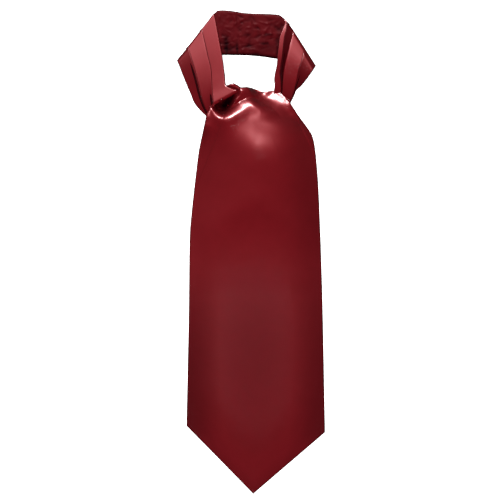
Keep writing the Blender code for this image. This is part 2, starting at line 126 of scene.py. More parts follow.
def sink_and_shade_mask(plan, hollows, sharpness=SOFT_RIM):
    """A mask from 0 in the open to 1, which sinks the cloth into the knot and also places painted shade.

    Each entry is a path, its strengths along it, and its reach to the left and to the right.
    """
    deep = np.zeros(plan.shape[:-1])
    for path, strengths, left_reach, right_reach in hollows:
        share, across = along_and_across(plan, curve_through(path))
        reach = np.where(across >= 0, left_reach, right_reach)
        strength = np.maximum(spread(strengths, share), 0.0)
        deep = np.maximum(deep, strength * np.exp(-np.abs(across / reach) ** sharpness))
    return deep


def rounded(depth, radius):
    """How far a face has dropped at this depth inside a rounded edge, as a share of the radius."""
    near = np.clip(1 - depth / radius, 0.0, 1.0)
    return 1 - np.sqrt(1 - near ** 2)


# %% [markdown]
# ## From a grid to a sheet of cloth
# A woven sheet is a grid already, so each piece starts as `create_grid`, whose crossings are carried to
# their places. The grid also gives the cloth its own coordinates: the UV map holds the distance along the
# threads in metres, so a weave drawn on it turns with every fold. A second layer holds painted shade, from 0
# in the open to 1 where a fold is painted nearly black. A Solidify modifier gives the thickness.

# %% Cloth from a grid
MERGE = 0.00001           # crossings closer than this are one
CLOTH_THICK = 0.00040     # silk satin with its interlining
BAND_THICK = 0.00030      # the same where it is pressed into the band


def cloth(name, places, fabric, thick=CLOTH_THICK, smooth_levels=0, hollow=None):
    """A sheet of cloth, its face up, whose thread crossings are at these places (rows, columns, 3)."""
    rows, columns = places.shape[:2]
    across = np.linalg.norm(np.diff(places, axis=1), axis=-1)
    down = np.linalg.norm(np.diff(places, axis=0), axis=-1)
    u = np.concatenate([[0.0], np.cumsum(np.median(across, axis=0))])
    v = np.concatenate([[0.0], np.cumsum(np.median(down, axis=1))])
    bm = bmesh.new()
    bmesh.ops.create_grid(bm, x_segments=columns - 1, y_segments=rows - 1, size=1.0)
    bm.verts.ensure_lookup_table()
    weave = bm.loops.layers.uv.new("weave")
    for face in bm.faces:
        for loop in face.loops:
            row, column = divmod(loop.vert.index, columns)
            loop[weave].uv = (u[column], v[row])
    for vert, place in zip(bm.verts, places.reshape(-1, 3)):
        vert.co = place
    # painted shade, kept on each crossing for the satin to darken its colour
    if hollow is not None:
        deep = bm.verts.layers.float.new("hollow")
        for vert, value in zip(bm.verts, hollow.reshape(-1)):
            vert[deep] = value
    bmesh.ops.remove_doubles(bm, verts=list(bm.verts), dist=MERGE)
    bmesh.ops.recalc_face_normals(bm, faces=list(bm.faces))
    highest = max(bm.faces, key=lambda face: face.calc_center_median().z)
    if highest.normal.z <= 0:
        bmesh.ops.reverse_faces(bm, faces=list(bm.faces))
    mesh = bpy.data.meshes.new(name)
    bm.to_mesh(mesh)
    bm.free()
    mesh.materials.append(fabric)
    mesh.shade_smooth()
    piece = bpy.data.objects.new(name, mesh)
    bpy.context.scene.collection.objects.link(piece)
    if smooth_levels:
        smoother = piece.modifiers.new("smooth", "SUBSURF")
        smoother.levels = smooth_levels
        smoother.render_levels = smooth_levels
    thickness = piece.modifiers.new("thickness", "SOLIDIFY")
    thickness.thickness = thick
    thickness.offset = -1.0
    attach(piece, "root")
    print(f"{name}: {rows} x {columns} crossings, about {1000 * u[-1]:.0f} x {1000 * v[-1]:.0f} mm of cloth")
    return piece


# %% [markdown]
# ## The finish: burgundy silk satin
# Satin floats its warp threads over four or more wefts, so the face is smooth and lit along one direction,
# and the sheen is a broad bloom. Two layers give it: the dyed thread, which colours its own reflection, and
# over it a closer, colourless sheen where the floats lie flat. The floats are drawn as fine, long grain on
# the UV map. Where the painted shade layer says so, the colour is painted nearly black and the outer sheen is
# taken away.

# %% Colours and the node helper
def linear(hex_colour):
    """The linear colour of an sRGB hex value."""
    parts = [int(hex_colour[i:i + 2], 16) / 255 for i in (1, 3, 5)]
    return [p / 12.92 if p <= 0.04045 else ((p + 0.055) / 1.055) ** 2.4 for p in parts] + [1.0]


def add(tree, kind, settings=(), links=()):
    """Adds one node, with its settings and with links into it: (its input, a node, that node's output)."""
    node = tree.nodes.new(kind)
    for key, value in dict(settings).items():
        if isinstance(key, str) and hasattr(node, key):
            setattr(node, key, value)
        else:
            node.inputs[key].default_value = value
    for socket, source, output in links:
        tree.links.new(source.outputs[output], node.inputs[socket])
    return node


# %% The satin
GRAIN = 0.0009            # thread floats are 0.12 mm apart; drawn this coarse, they just show
FLOAT = 0.0035            # length of a drawn float along the warp
SLUB = 0.012              # spacing of the slow changes of tone along the cloth
GRAIN_STRENGTH = 0.5
SHINE_DRIFT = 0.04        # how much the grain varies the sheen
COAT_CLOSER = 0.19        # how much closer than the thread's own sheen the outer sheen is
COAT_IOR = 1.7
SILK_IOR = 1.54
THREAD_SPECULAR = 0.1     # little, since the outer sheen stands for most of it
PAINTED_SHADE_TONE = "#0C0002"   # painted shade: the near-black colour painted deep inside folds


def satin(name, face, deep, sheen_colour, dyed_shine, coat, roughness, grain_depth):
    """Woven satin: a tone that drifts a little, grain along the warp, a sheen in two layers, and painted
    shade.
    """
    made = bpy.data.materials.new(name)
    made.use_nodes = True
    tree = made.node_tree
    shader = tree.nodes["Principled BSDF"]
    threads = add(tree, "ShaderNodeUVMap", {"uv_map": "weave"})
    grain_scale = add(tree, "ShaderNodeMapping", {"Scale": (1 / GRAIN, 1 / FLOAT, 1.0)},
                      [("Vector", threads, "UV")])
    grain = add(tree, "ShaderNodeTexNoise", {"Scale": 1.0, "Detail": 2.0, "Roughness": 0.6},
                [("Vector", grain_scale, "Vector")])
    slub = add(tree, "ShaderNodeTexNoise", {"Scale": 1 / SLUB, "Detail": 3.0}, [("Vector", threads, "UV")])
    tone = add(tree, "ShaderNodeMix", {"data_type": "RGBA"}, [(0, slub, 0)])
    tone.inputs[6].default_value = linear(deep)
    tone.inputs[7].default_value = linear(face)
    # painted shade: this layer darkens the colour towards the near-black painted shade tone and takes away
    # the outer sheen
    hollow = add(tree, "ShaderNodeAttribute", {"attribute_name": "hollow"})
    shaded = add(tree, "ShaderNodeMix", {"data_type": "RGBA"}, [(0, hollow, 2), (6, tone, 2)])
    shaded.inputs[7].default_value = linear(PAINTED_SHADE_TONE)
    tree.links.new(shaded.outputs[2], shader.inputs["Base Color"])
    bloom = add(tree, "ShaderNodeMapRange", {"To Min": coat, "To Max": 0.0}, [("Value", hollow, 2)])
    tree.links.new(bloom.outputs[0], shader.inputs["Coat Weight"])
    shine = add(tree, "ShaderNodeMapRange",
                {"To Min": roughness - SHINE_DRIFT, "To Max": roughness + SHINE_DRIFT}, [("Value", grain, 0)])
    tree.links.new(shine.outputs[0], shader.inputs["Roughness"])
    relief = add(tree, "ShaderNodeBump", {"Strength": GRAIN_STRENGTH, "Distance": grain_depth},
                 [("Height", grain, 0)])
    tree.links.new(relief.outputs[0], shader.inputs["Normal"])
    shader.inputs["Metallic"].default_value = dyed_shine
    shader.inputs["Specular Tint"].default_value = linear(sheen_colour)
    shader.inputs["Specular IOR Level"].default_value = THREAD_SPECULAR
    shader.inputs["Coat Roughness"].default_value = roughness - COAT_CLOSER
    shader.inputs["Coat IOR"].default_value = COAT_IOR
    shader.inputs["IOR"].default_value = SILK_IOR
    return made


# burgundy silk satin, face side out: the full sheen
FACE = satin("burgundy silk satin, face", face="#80101A", deep="#760D15", sheen_colour="#FFC4C9",
             dyed_shine=0.51, coat=1.00, roughness=0.48, grain_depth=0.00010)
# the same satin from its inside: duller, with hardly any outer sheen
INSIDE = satin("burgundy silk satin, inside", face="#560A10", deep="#3A0509", sheen_colour="#FF9AA0",
               dyed_shine=0.25, coat=0.03, roughness=0.60, grain_depth=0.00010)
print("finishes:", FACE.name, "/", INSIDE.name)

# %% [markdown]
# ## The front blade
# The blade is a flat tube: satin face in front, satin back behind, with soft rounded edges and no hem to be
# seen. It comes up through the loop, rolls over at its top line, swells over the knot and falls flat to a
# point. Its outline is ruled from the left edge to the right one and pulled out to the top line and the foot.

# %% Outline of the blade
BLADE_TOP = (
    (-0.0482, 0.1463), (-0.0450, 0.1530), (-0.0400, 0.1601), (-0.0314, 0.1651), (-0.0227, 0.1698),
    (-0.0168, 0.1727), (-0.0125, 0.1754), (-0.0087, 0.1771), (-0.0044, 0.1777), (0.0010, 0.1771),
    (0.0075, 0.1750), (0.0143, 0.1727), (0.0205, 0.1737), (0.0275, 0.1736), (0.0341, 0.1698),
    (0.0399, 0.1646), (0.0440, 0.1564),
)
BLADE_LEFT = (
    (-0.0482, 0.1463), (-0.0508, 0.1341), (-0.0562, 0.1104), (-0.0603, 0.0780), (-0.0641, 0.0434),
    (-0.0663, 0.0132), (-0.0672, -0.0624), (-0.0685, -0.1272), (-0.0697, -0.1874),
)
BLADE_RIGHT = (
    (0.0440, 0.1564), (0.0515, 0.1464), (0.0604, 0.1349), (0.0664, 0.1250), (0.0696, 0.1084),
    (0.0723, 0.0780), (0.0739, 0.0456), (0.0758, -0.0041), (0.0777, -0.0732), (0.0800, -0.1944),
)
BLADE_FOOT = ((-0.0697, -0.1874), (0.0024, -0.2609), (0.0800, -0.1944))
TOP_FADE = 4.0            # how soon the pull of the top line dies out down the blade
FOOT_FADE = 3.0           # how late the pull of the foot line comes in
top_run = curve_through(BLADE_TOP)
left_run = curve_through(BLADE_LEFT)
right_run = curve_through(BLADE_RIGHT)
foot_run = np.array(BLADE_FOOT)


def patch(s, t, left, right, top, foot, top_fade, foot_fade):
    """A sheet ruled from its left edge to its right edge, pulled out to its top line and its foot line."""
    s = s[None, :, None]
    left_side = walk(left, t)[:, None]
    right_side = walk(right, t)[:, None]
    top_pull = walk(top, s[0, :, 0]) - ((1 - s[0]) * left[0] + s[0] * right[0])
    foot_pull = walk(foot, s[0, :, 0]) - ((1 - s[0]) * left[-1] + s[0] * right[-1])
    t = t[:, None, None]
    return (1 - s) * left_side + s * right_side + (1 - t) ** top_fade * top_pull + t ** foot_fade * foot_pull


# %% [markdown]
# Its height comes from cross-sections, with folds, swells and steps laid over them. SHOULDER_POWER, TOP_ROLL
# and ROLL_WIDTH, most of BLADE_SECTIONS, FOLDS and STEPS, and the first seven SWELLS were solved for by a
# separate least-squares program. They were not chosen by hand.

# %% Its cross-sections and its folds
CLOTH = 0.0024            # thickness of a whole blade, face to back
BLADE_SECTIONS = (
    # y, rise of the crown, width of the shoulder
    (0.1780, 0.0214, 0.0565),
    (0.1600, 0.0236, 0.0512),
    (0.1400, 0.0267, 0.0530),
    (0.1200, 0.0298, 0.0596),
    (0.1000, 0.0308, 0.0734),
    (0.0800, 0.0263, 0.0711),
    (0.0550, 0.0216, 0.0717),
    (0.0250, 0.0116, 0.0432),
    (-0.0050, 0.0066, 0.0440),
    (-0.0350, 0.0046, 0.0460),
    (-0.0600, 0.0042, 0.0480),
    (-0.2700, 0.0042, 0.0500),
)
SHOULDER_POWER = 1.106    # how steeply a shoulder leaves the edge
PUFF_SIDES = (
    # y, left and right limits of the puffed part
    (0.1850, -0.0435, 0.0260),
    (0.1700, -0.0450, 0.0360),
    (0.1564, -0.0468, 0.0440),
    (0.1464, -0.0482, 0.0515),
    (0.1349, -0.0506, 0.0604),
    (0.1250, -0.0529, 0.0664),
    (0.1084, -0.0565, 0.0696),
    (0.0780, -0.0603, 0.0723),
    (0.0445, -0.0641, 0.0739),
    (0.0000, -0.0664, 0.0757),
    (-0.0680, -0.0673, 0.0776),
    (-0.1900, -0.0697, 0.0799),
    (-0.2700, -0.0700, 0.0810),
)
# how far the cloth rolls down along its top line and the width of that roll, at even spacing
TOP_ROLL = (-0.0047, -0.0029, -0.0003, 0.0000, 0.0012, -0.0036, 0.0104,
            0.0152, 0.0022, -0.0002, -0.0015, -0.0050, -0.0005)
ROLL_WIDTH = (0.0067, 0.0040, 0.0057, 0.0042, 0.0040, 0.0015, 0.0016,
              0.0143, 0.0156, 0.0119, 0.0116, 0.0052, 0.0066)
FOLDS = (
    # path, heights along it, width to its left, width to its right
    # the ridge under the top line
    (((-0.0188, 0.1676), (-0.0135, 0.1722), (-0.0095, 0.1737), (-0.0050, 0.1746),
      (0.0003, 0.1740), (0.0129, 0.1708), (0.0282, 0.1618), (0.0356, 0.1506)),
     (0.0141, 0.0127, 0.0095, 0.0012, -0.0014, -0.0030, -0.0002, 0.0005), 0.0117, 0.0089),
    # the dip above the swell
    (((0.0000, 0.1515), (0.0100, 0.1515)),
     (-0.0018, -0.0002), 0.0069, 0.0072),
    # where the blade lies over the left stretch, and over the right one
    (((-0.0505, 0.1380), (-0.0470, 0.1480), (-0.0400, 0.1600)),
     (0.0172, 0.0142, 0.0086), 0.0090, 0.0126),
    (((0.0560, 0.1420), (0.0450, 0.1550), (0.0330, 0.1680)),
     (-0.0021, 0.0052, 0.0008), 0.0048, 0.0062),
)
SWELLS = (
    # x, y, turn, reach along, reach across, height
    (0.0241, 0.1243, -0.33, 0.0220, 0.0145, -0.0031),
    (-0.0056, 0.1511, 0.35, 0.0179, 0.0063, 0.0018),
    (0.0139, 0.1658, -0.69, 0.0199, 0.0087, -0.0054),
    (-0.0212, 0.1212, 1.16, 0.0299, 0.0126, -0.0017),
    (0.0363, 0.1025, 0.27, 0.0230, 0.0491, 0.0051),
    (-0.0279, 0.1486, 1.65, 0.0247, 0.0129, 0.0091),
    (0.0348, 0.1448, 0.14, 0.0181, 0.0062, -0.0023),
    (0.0300, 0.1690, -0.60, 0.0300, 0.0220, 0.0031),
    (-0.0355, 0.1430, 0.00, 0.0085, 0.0070, 0.0024),
)
STEPS = (
    # crest of the step, depths of the drop to its left, widths of that drop
    # the lip round the hollow
    (((-0.0424, 0.1626), (-0.0430, 0.1574), (-0.0422, 0.1501), (-0.0376, 0.1432), (-0.0325, 0.1396),
      (-0.0262, 0.1388), (-0.0190, 0.1416), (-0.0141, 0.1454), (-0.0092, 0.1499), (-0.0044, 0.1544),
      (0.0012, 0.1560), (0.0070, 0.1521), (0.0128, 0.1455), (0.0175, 0.1351)),
     (0.0000, 0.0110, 0.0118, 0.0120, 0.0118, 0.0112, 0.0100,
      0.0088, 0.0072, 0.0070, 0.0031, 0.0019, 0.0001),
     (0.0042, 0.0075, 0.0080, 0.0100, 0.0120, 0.0125, 0.0120,
      0.0110, 0.0097, 0.0095, 0.0123, 0.0157, 0.0180)),
    # the flank of the ridge
    (((-0.0249, 0.1536), (-0.0217, 0.1612), (-0.0182, 0.1664), (-0.0141, 0.1714),
      (-0.0099, 0.1758), (-0.0060, 0.1800)),
     (0.0004, 0.0058, 0.0067, 0.0079, 0.0080),
     (0.0016, 0.0034)),
)
ROLL_END = 0.96           # share of a quarter turn at which a step stops, so that it is never upright
MOUTH = (
    # path, depths along it, reach to its left, reach to its right: where the cloth goes down into the knot,
    # and is also painted nearly black there as painted shade
    (((-0.0350, 0.1574), (-0.0305, 0.1568), (-0.0265, 0.1608), (-0.0222, 0.1670), (-0.0180, 0.1712)),
     (0.8, 1.0, 1.0, 0.9, 0.5), 0.0050, 0.0056),
)
MOUTH_DEPTH = 0.0150
BLADE_SIDES_PAINTED_SHADE = (
    # path, strengths along it, reach to its left, reach to its right: painted shade, darkening the lower
    # blade's colour at its sides, at its foot and along its middle
    (BLADE_LEFT, (0.0, 0.0, 0.0, 0.05, 0.15, 0.38, 0.50, 0.54, 0.56), 0.0360, 0.0360),
    (BLADE_RIGHT, (0.0, 0.0, 0.10, 0.25, 0.30, 0.32, 0.40, 0.46, 0.50, 0.52, 0.55), 0.0340, 0.0340),
    (BLADE_FOOT, (0.30, 0.30, 0.30), 0.0200, 0.0200),
    (((0.004, 0.000), (0.004, -0.045), (0.004, -0.090), (0.004, -0.135), (0.004, -0.180)),
     (0.0, 0.20, 0.30, 0.28, 0.22), 0.060, 0.060),
)
TUBE_EDGE = 0.0012        # radius of the blade's soft edge
print(f"{len(BLADE_SECTIONS)} cross-sections, {len(FOLDS)} folds, {len(SWELLS)} swells, {len(STEPS)} steps")


# %% Height of the blade's face
def edge_distance(plan):
    """Distance of each plan point from the nearest of the blade's sides and its foot."""
    return np.min([np.abs(along_and_across(plan, run)[1]) for run in (left_run, right_run, foot_run)], axis=0)


def blade_face(plan):
    """Height of the front blade's face above the surface: its swell, then its folds, steps and top roll."""
    shoulder = section(BLADE_SECTIONS, plan[..., 1], 2)
    puff = section(BLADE_SECTIONS, plan[..., 1], 1)
    for depth in (plan[..., 0] - section(PUFF_SIDES, plan[..., 1], 1),
                  section(PUFF_SIDES, plan[..., 1], 2) - plan[..., 0],
                  along_and_across(plan, foot_run[:2])[1],
                  along_and_across(plan, foot_run[1:])[1]):
        reach = np.clip(depth / shoulder, 0.0, 1.0)
        puff = puff * (1 - (1 - reach) ** 2) ** SHOULDER_POWER
    height = CLOTH + puff
    for path, heights, left_width, right_width in FOLDS:
        share, across = along_and_across(plan, curve_through(path))
        width = np.where(across >= 0, left_width, right_width)
        height += spread(heights, share) * np.exp(-(across / width) ** 2)
    for x, y, turn, along_reach, across_reach, rise in SWELLS:
        along = (plan[..., 0] - x) * np.cos(turn) + (plan[..., 1] - y) * np.sin(turn)
        across = (plan[..., 1] - y) * np.cos(turn) - (plan[..., 0] - x) * np.sin(turn)
        height += rise * np.exp(-(along / along_reach) ** 2 - (across / across_reach) ** 2)
    for path, depths, widths in STEPS:
        share, across = along_and_across(plan, curve_through(path))
        passed = ROLL_END * np.clip(across / spread(widths, share), 0.0, 1.0)
        turned = (1 - np.sqrt(1 - passed ** 2)) / (1 - np.sqrt(1 - ROLL_END ** 2))
        height -= np.maximum(spread(depths, share), 0.0) * turned
    height -= MOUTH_DEPTH * sink_and_shade_mask(plan, MOUTH, FIRM_RIM)
    share, across = along_and_across(plan, top_run)
    height -= spread(TOP_ROLL, share) * rounded(np.maximum(-across, 0.0), spread(ROLL_WIDTH, share))
    return np.maximum(height, CLOTH) - TUBE_EDGE * rounded(edge_distance(plan), TUBE_EDGE)


# %% [markdown]
# The grid is closest where the cloth turns: at the edges, along the top line and over the knot. The back of
# the tube follows the same grid a little lower, so the two can be joined into one tube, closed at the point.

# %% Spacing of the crossings
EDGE_STEPS = np.array([0.0, 0.00035, 0.0008, 0.0014, 0.0022, 0.0031])
MEAN_WIDTH = 0.145        # about the mean width of the blade, to turn edge steps into shares
BLADE_COLUMNS = 128
KNOT_STEP = 0.00095       # rows this close over the knot
KNOT_LENGTH = 0.085
FLAT_STEPS = 44           # rows from the knot to the foot, ever further apart
FLAT_GROWTH = 1.5

edge_share = EDGE_STEPS / MEAN_WIDTH
s = np.concatenate([edge_share, np.linspace(edge_share[-1], 1 - edge_share[-1], BLADE_COLUMNS)[1:-1],
                    (1 - edge_share)[::-1]])
to_tip = np.linalg.norm(foot_run[1] - foot_run[0]) / run_length(foot_run)
s[np.abs(s - to_tip).argmin()] = to_tip
blade_length = run_length(left_run)
knot_rows = np.arange(EDGE_STEPS[-1], KNOT_LENGTH, KNOT_STEP)
flat_start = knot_rows[-1] + KNOT_STEP
growing = np.linspace(0.0, 1.0, FLAT_STEPS) ** FLAT_GROWTH
flat_rows = flat_start + growing * (blade_length - EDGE_STEPS[-1] - knot_rows[-1] - KNOT_STEP)
down_blade = np.concatenate([EDGE_STEPS[:-1], knot_rows, flat_rows[:-1], blade_length - EDGE_STEPS[::-1]])
t = down_blade / blade_length
blade_plan = patch(s, t, left_run, right_run, top_run, foot_run, TOP_FADE, FOOT_FADE)
print(f"blade grid: {len(t)} rows x {len(s)} columns")

# %% The blade as a tube
LINING_GAP = 0.0004       # the back of the tube lies this far above what is under it
STEEP = 2.0               # most that a slope multiplies the tube's thickness by, measured straight down
TOP_WALL = (0.0018, 0.0020, 0.0022, 0.0030, 0.0060, 0.0080, 0.0085, 0.0080, 0.0060, 0.0030, 0.0020)
WALL_ROWS = 5
WALL_FOOT = 0.0009        # the walls stop this far above the surface, in front and at the back
BACK_WALL_FOOT = 0.0004
BACK_SET_IN = 0.0012      # how far the back's wall stands inside the front's
SMALL = 1e-6


def slope(face, plan, axis):
    """Rise of the face from one crossing to the next, per metre of plan."""
    gap = np.linalg.norm(np.gradient(plan, axis=axis), axis=-1)
    return np.gradient(face, axis=axis) / np.maximum(gap, SMALL)


def tube_sides(plan):
    """Places of the blade's face, and of its back, which runs from right to left."""
    face = blade_face(plan)
    slope_y = slope(face, plan, 0)
    slope_x = slope(face, plan, 1)
    steep = np.minimum(np.sqrt(1 + slope_x ** 2 + slope_y ** 2), STEEP)
    back = np.maximum(face - CLOTH * steep, 0.0) + LINING_GAP
    seam = np.clip(1 - edge_distance(plan) / TUBE_EDGE, 0.0, 1.0) ** 2
    back = np.minimum(back + seam * (face - back), face)
    return np.dstack([plan, face]), np.dstack([plan, back])[:, ::-1]


def with_top_wall(places, wall, foot, set_in=0.0):
    """One side of the tube, after rows that lead down from its top line."""
    down = np.linspace(1.0, 0.0, WALL_ROWS, endpoint=False)[:, None]
    rows = np.repeat(places[:1], WALL_ROWS, axis=0)
    rows[..., 1] -= set_in
    rows[..., 2] = np.maximum(rows[..., 2] - down * wall, foot)
    return np.concatenate([rows, places])


face_side, back_side = tube_sides(blade_plan)
wall = spread(TOP_WALL, s)
face_side = with_top_wall(face_side, wall, WALL_FOOT)
back_side = with_top_wall(back_side, wall[::-1], BACK_WALL_FOOT, BACK_SET_IN)
tube = np.concatenate([face_side, back_side[:, 1:]], axis=1)
# painted shade on the blade: nearly black in the mouth into the knot, darker at the sides, foot and middle
blade_painted_shade = np.maximum(sink_and_shade_mask(tube[..., :2], MOUTH, FIRM_RIM), sink_and_shade_mask(tube[..., :2], BLADE_SIDES_PAINTED_SHADE))
front_blade = cloth("front_blade_tube", tube, FACE, hollow=blade_painted_shade)
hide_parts("front_blade", "knot_front")

# %% [markdown]
# ## The neck band's side stretches
# The band is the same tube laid in three pleats, one over the other like roof tiles, and folded across at
# each side of the neck. A pleat is a zigzag: the cloth passes under the next pleat, turns back, and turns
# again at that pleat's free edge. So each stretch is one sheet whose columns follow that zigzag, and whose
# rows run from the crease, which they go round, down to the knot.

# %% Lines of the pleats
LEFT_INNER = ((-0.0398, 0.2578), (-0.0373, 0.2465), (-0.0323, 0.2205), (-0.0305, 0.2111), (-0.0293, 0.2025),
              (-0.0277, 0.1903), (-0.0267, 0.1802), (-0.0217, 0.1771), (-0.0173, 0.1756), (-0.0145, 0.1748))
LEFT_PLEAT_1 = ((-0.0531, 0.2412), (-0.0497, 0.2270), (-0.0463, 0.2119), (-0.0428, 0.1968), (-0.0420, 0.1817),
                (-0.0410, 0.1650), (-0.0402, 0.1612))
LEFT_PLEAT_2 = ((-0.0677, 0.2225), (-0.0649, 0.2121), (-0.0610, 0.1992), (-0.0573, 0.1852), (-0.0542, 0.1719),
                (-0.0504, 0.1590), (-0.0465, 0.1503))
LEFT_OUTER = ((-0.0799, 0.2068), (-0.0746, 0.1926), (-0.0695, 0.1801), (-0.0653, 0.1703), (-0.0612, 0.1605),
              (-0.0545, 0.1523), (-0.0488, 0.1469), (-0.0454, 0.1439))
LEFT_PLEATS = (
    # inner line, heights along it, outer line, heights along it, painted shade along its way
    (LEFT_INNER, (0.0058, 0.0075, 0.0092, 0.0109, 0.0126, 0.0142, 0.0164, 0.0214),
     LEFT_PLEAT_1, (0.0058, 0.0070, 0.0082, 0.0094, 0.0106, 0.0118, 0.0132, 0.0164),
     (0.0, 0.0, 0.0, 0.0, 0.0)),
    (LEFT_PLEAT_1, (0.0072, 0.0088, 0.0104, 0.0118, 0.0130, 0.0140, 0.0152, 0.0174),
     LEFT_PLEAT_2, (0.0070, 0.0088, 0.0102, 0.0112, 0.0116, 0.0114, 0.0106, 0.0092),
     (0.0, 0.0, 0.05, 0.10, 0.10)),
    (LEFT_PLEAT_2, (0.0084, 0.0102, 0.0116, 0.0126, 0.0130, 0.0128, 0.0120, 0.0106),
     LEFT_OUTER, (0.0080, 0.0080, 0.0074, 0.0068, 0.0062, 0.0056, 0.0052, 0.0048),
     (0.26, 0.28, 0.16, 0.0, 0.0)),
)
RIGHT_LOOSE = ((0.0358, 0.2514), (0.0365, 0.2465), (0.0328, 0.2372), (0.0308, 0.2310), (0.0296, 0.2205),
               (0.0284, 0.2111), (0.0278, 0.2025), (0.0254, 0.1909), (0.0249, 0.1849), (0.0256, 0.1801),
               (0.0244, 0.1734), (0.0226, 0.1655))
RIGHT_INNER = ((0.0383, 0.2492), (0.0381, 0.2444), (0.0376, 0.2400), (0.0358, 0.2328), (0.0346, 0.2236),
               (0.0333, 0.2111), (0.0317, 0.2011), (0.0308, 0.1935), (0.0316, 0.1860), (0.0320, 0.1790),
               (0.0318, 0.1730), (0.0300, 0.1644))
RIGHT_PLEAT_1 = ((0.0457, 0.2391), (0.0437, 0.2313), (0.0415, 0.2238), (0.0400, 0.2168), (0.0377, 0.2076),
                 (0.0356, 0.1979), (0.0345, 0.1892), (0.0341, 0.1817), (0.0338, 0.1730), (0.0326, 0.1636))
RIGHT_PLEAT_2 = ((0.0575, 0.2205), (0.0557, 0.2119), (0.0539, 0.2043), (0.0514, 0.1968), (0.0496, 0.1881),
                 (0.0481, 0.1817), (0.0461, 0.1741), (0.0431, 0.1659), (0.0380, 0.1596))
RIGHT_OUTER = ((0.0699, 0.2011), (0.0688, 0.1993), (0.0626, 0.1900), (0.0544, 0.1796), (0.0487, 0.1744),
               (0.0461, 0.1683), (0.0425, 0.1610), (0.0402, 0.1560))
RIGHT_PLEATS = (
    # inner line, heights along it, outer line, heights along it, painted shade along its way
    (RIGHT_LOOSE, (0.0040, 0.0060, 0.0074, 0.0086, 0.0094, 0.0092, 0.0090, 0.0070, 0.0014),
     RIGHT_INNER, (0.0050, 0.0064, 0.0074, 0.0082, 0.0084, 0.0080, 0.0074, 0.0052, 0.0010),
     (0.0, 0.0, 0.1, 0.05, 0.0)),
    (RIGHT_INNER, (0.0078, 0.0090, 0.0096, 0.0100, 0.0100, 0.0096, 0.0088, 0.0064, 0.0022),
     RIGHT_PLEAT_1, (0.0060, 0.0066, 0.0068, 0.0066, 0.0062, 0.0056, 0.0048, 0.0034, 0.0010),
     (0.50, 0.66, 0.68, 0.62, 0.45)),
    (RIGHT_PLEAT_1, (0.0074, 0.0088, 0.0102, 0.0112, 0.0114, 0.0104, 0.0086, 0.0058, 0.0020),
     RIGHT_PLEAT_2, (0.0090, 0.0106, 0.0120, 0.0120, 0.0106, 0.0088, 0.0064, 0.0040, 0.0012),
     (0.0, 0.0, 0.0, 0.18, 0.42)),
    (RIGHT_PLEAT_2, (0.0102, 0.0120, 0.0133, 0.0133, 0.0119, 0.0101, 0.0077, 0.0053, 0.0024),
     RIGHT_OUTER, (0.0108, 0.0134, 0.0120, 0.0094, 0.0076, 0.0062, 0.0050, 0.0034, 0.0012),
     (0.0, 0.36, 0.55, 0.45, 0.35)),
)

# %% The zigzag of columns
FLOOR_GAP = 0.0004        # how far above the surface the lowest crossings are placed
BAND_LIFT = 0.0038        # height at which a side stretch lies on the end of the back stretch
BAND_FOOT_Y = 0.2058
BAND_RAMP = 0.012
LEAST_RISE = 0.0010       # a face is at least this far above the layer turned in under it
NOSE = 0.0007             # radius of a free edge
UNDERLAP = 0.0045         # how far a pleat runs on under the next one
FACE_SHARES = (0.10, 0.25, 0.42, 0.58, 0.75, 0.88, 0.97)
EDGE_TURN = (
    # metres in from the stretch's edge, share of the way from the layer turned in up to the face
    (0.0080, 0.0), (0.0030, 0.0), (NOSE, 0.10), (0.0, 0.55), (NOSE, 1.0),
)
ZIGZAG = (
    # metres in from the next pleat's edge, share of the way from this face up to the next
    (0.0, 0.0), (UNDERLAP - 0.0010, 0.0), (UNDERLAP, 0.18), (UNDERLAP - 0.0010, 0.38),
    (NOSE, 0.42), (0.0, 0.72), (NOSE, 1.0),
)
IN_LIGHT = 0.9            # a zigzag's columns above this share take the next pleat's painted shade
UNDER_PLEAT_PAINTED_SHADE = (0.2, 0.9, 0.9, 0.9, 0.9)      # painted shade: what runs on under the next pleat is painted all dark


def band_under(y):
    """Height of the lowest layer of a side stretch: on the back stretch, then down on the surface."""
    return FLOOR_GAP + BAND_LIFT * np.clip((y - BAND_FOOT_Y) / BAND_RAMP + 1, 0.0, 1.0)


def on_face(low, high, share):
    """Height of a pleat's face at this share of its width, as a function of the way along and of y."""
    return lambda t, y: spread(low, t) + share * (spread(high, t) - spread(low, t))


def turned_in(face):
    """Height of the layer turned in under a face."""
    return lambda t, y: np.minimum(band_under(y), face(t, y) - LEAST_RISE)


def part_way(part, lower, upper):
    """Height at this share of the way from a lower layer to an upper one."""
    return lambda t, y: lower(t, y) + part * (upper(t, y) - lower(t, y))


def zigzag_columns(pleats):
    """A stretch's columns: its two lines, the share between them, metres inward, height, painted shade."""
    runs = [(curve_through(inner), low, curve_through(outer), high, painted_dim)
            for inner, low, outer, high, painted_dim in pleats]
    columns = []
    for index, (inner, low, outer, high, painted_dim) in enumerate(runs):
        near, far = on_face(low, high, 0.0), on_face(low, high, 1.0)
        if index == 0:
            columns += [(inner, outer, 0.0, offset, part_way(part, turned_in(near), near), painted_dim)
                        for offset, part in EDGE_TURN]
        columns += [(inner, outer, share, 0.0, on_face(low, high, share), painted_dim) for share in FACE_SHARES]
        if index == len(runs) - 1:
            columns += [(inner, outer, 1.0, -offset, part_way(part, turned_in(far), far), painted_dim)
                        for offset, part in reversed(EDGE_TURN)]
        else:
            next_inner, next_low, next_outer, next_high, next_painted_dim = runs[index + 1]
            next_face = on_face(next_low, next_high, 0.0)
            columns += [(next_inner, next_outer, 0.0, offset, part_way(part, far, next_face),
                         next_painted_dim if part > IN_LIGHT else UNDER_PLEAT_PAINTED_SHADE) for offset, part in ZIGZAG]
    return columns


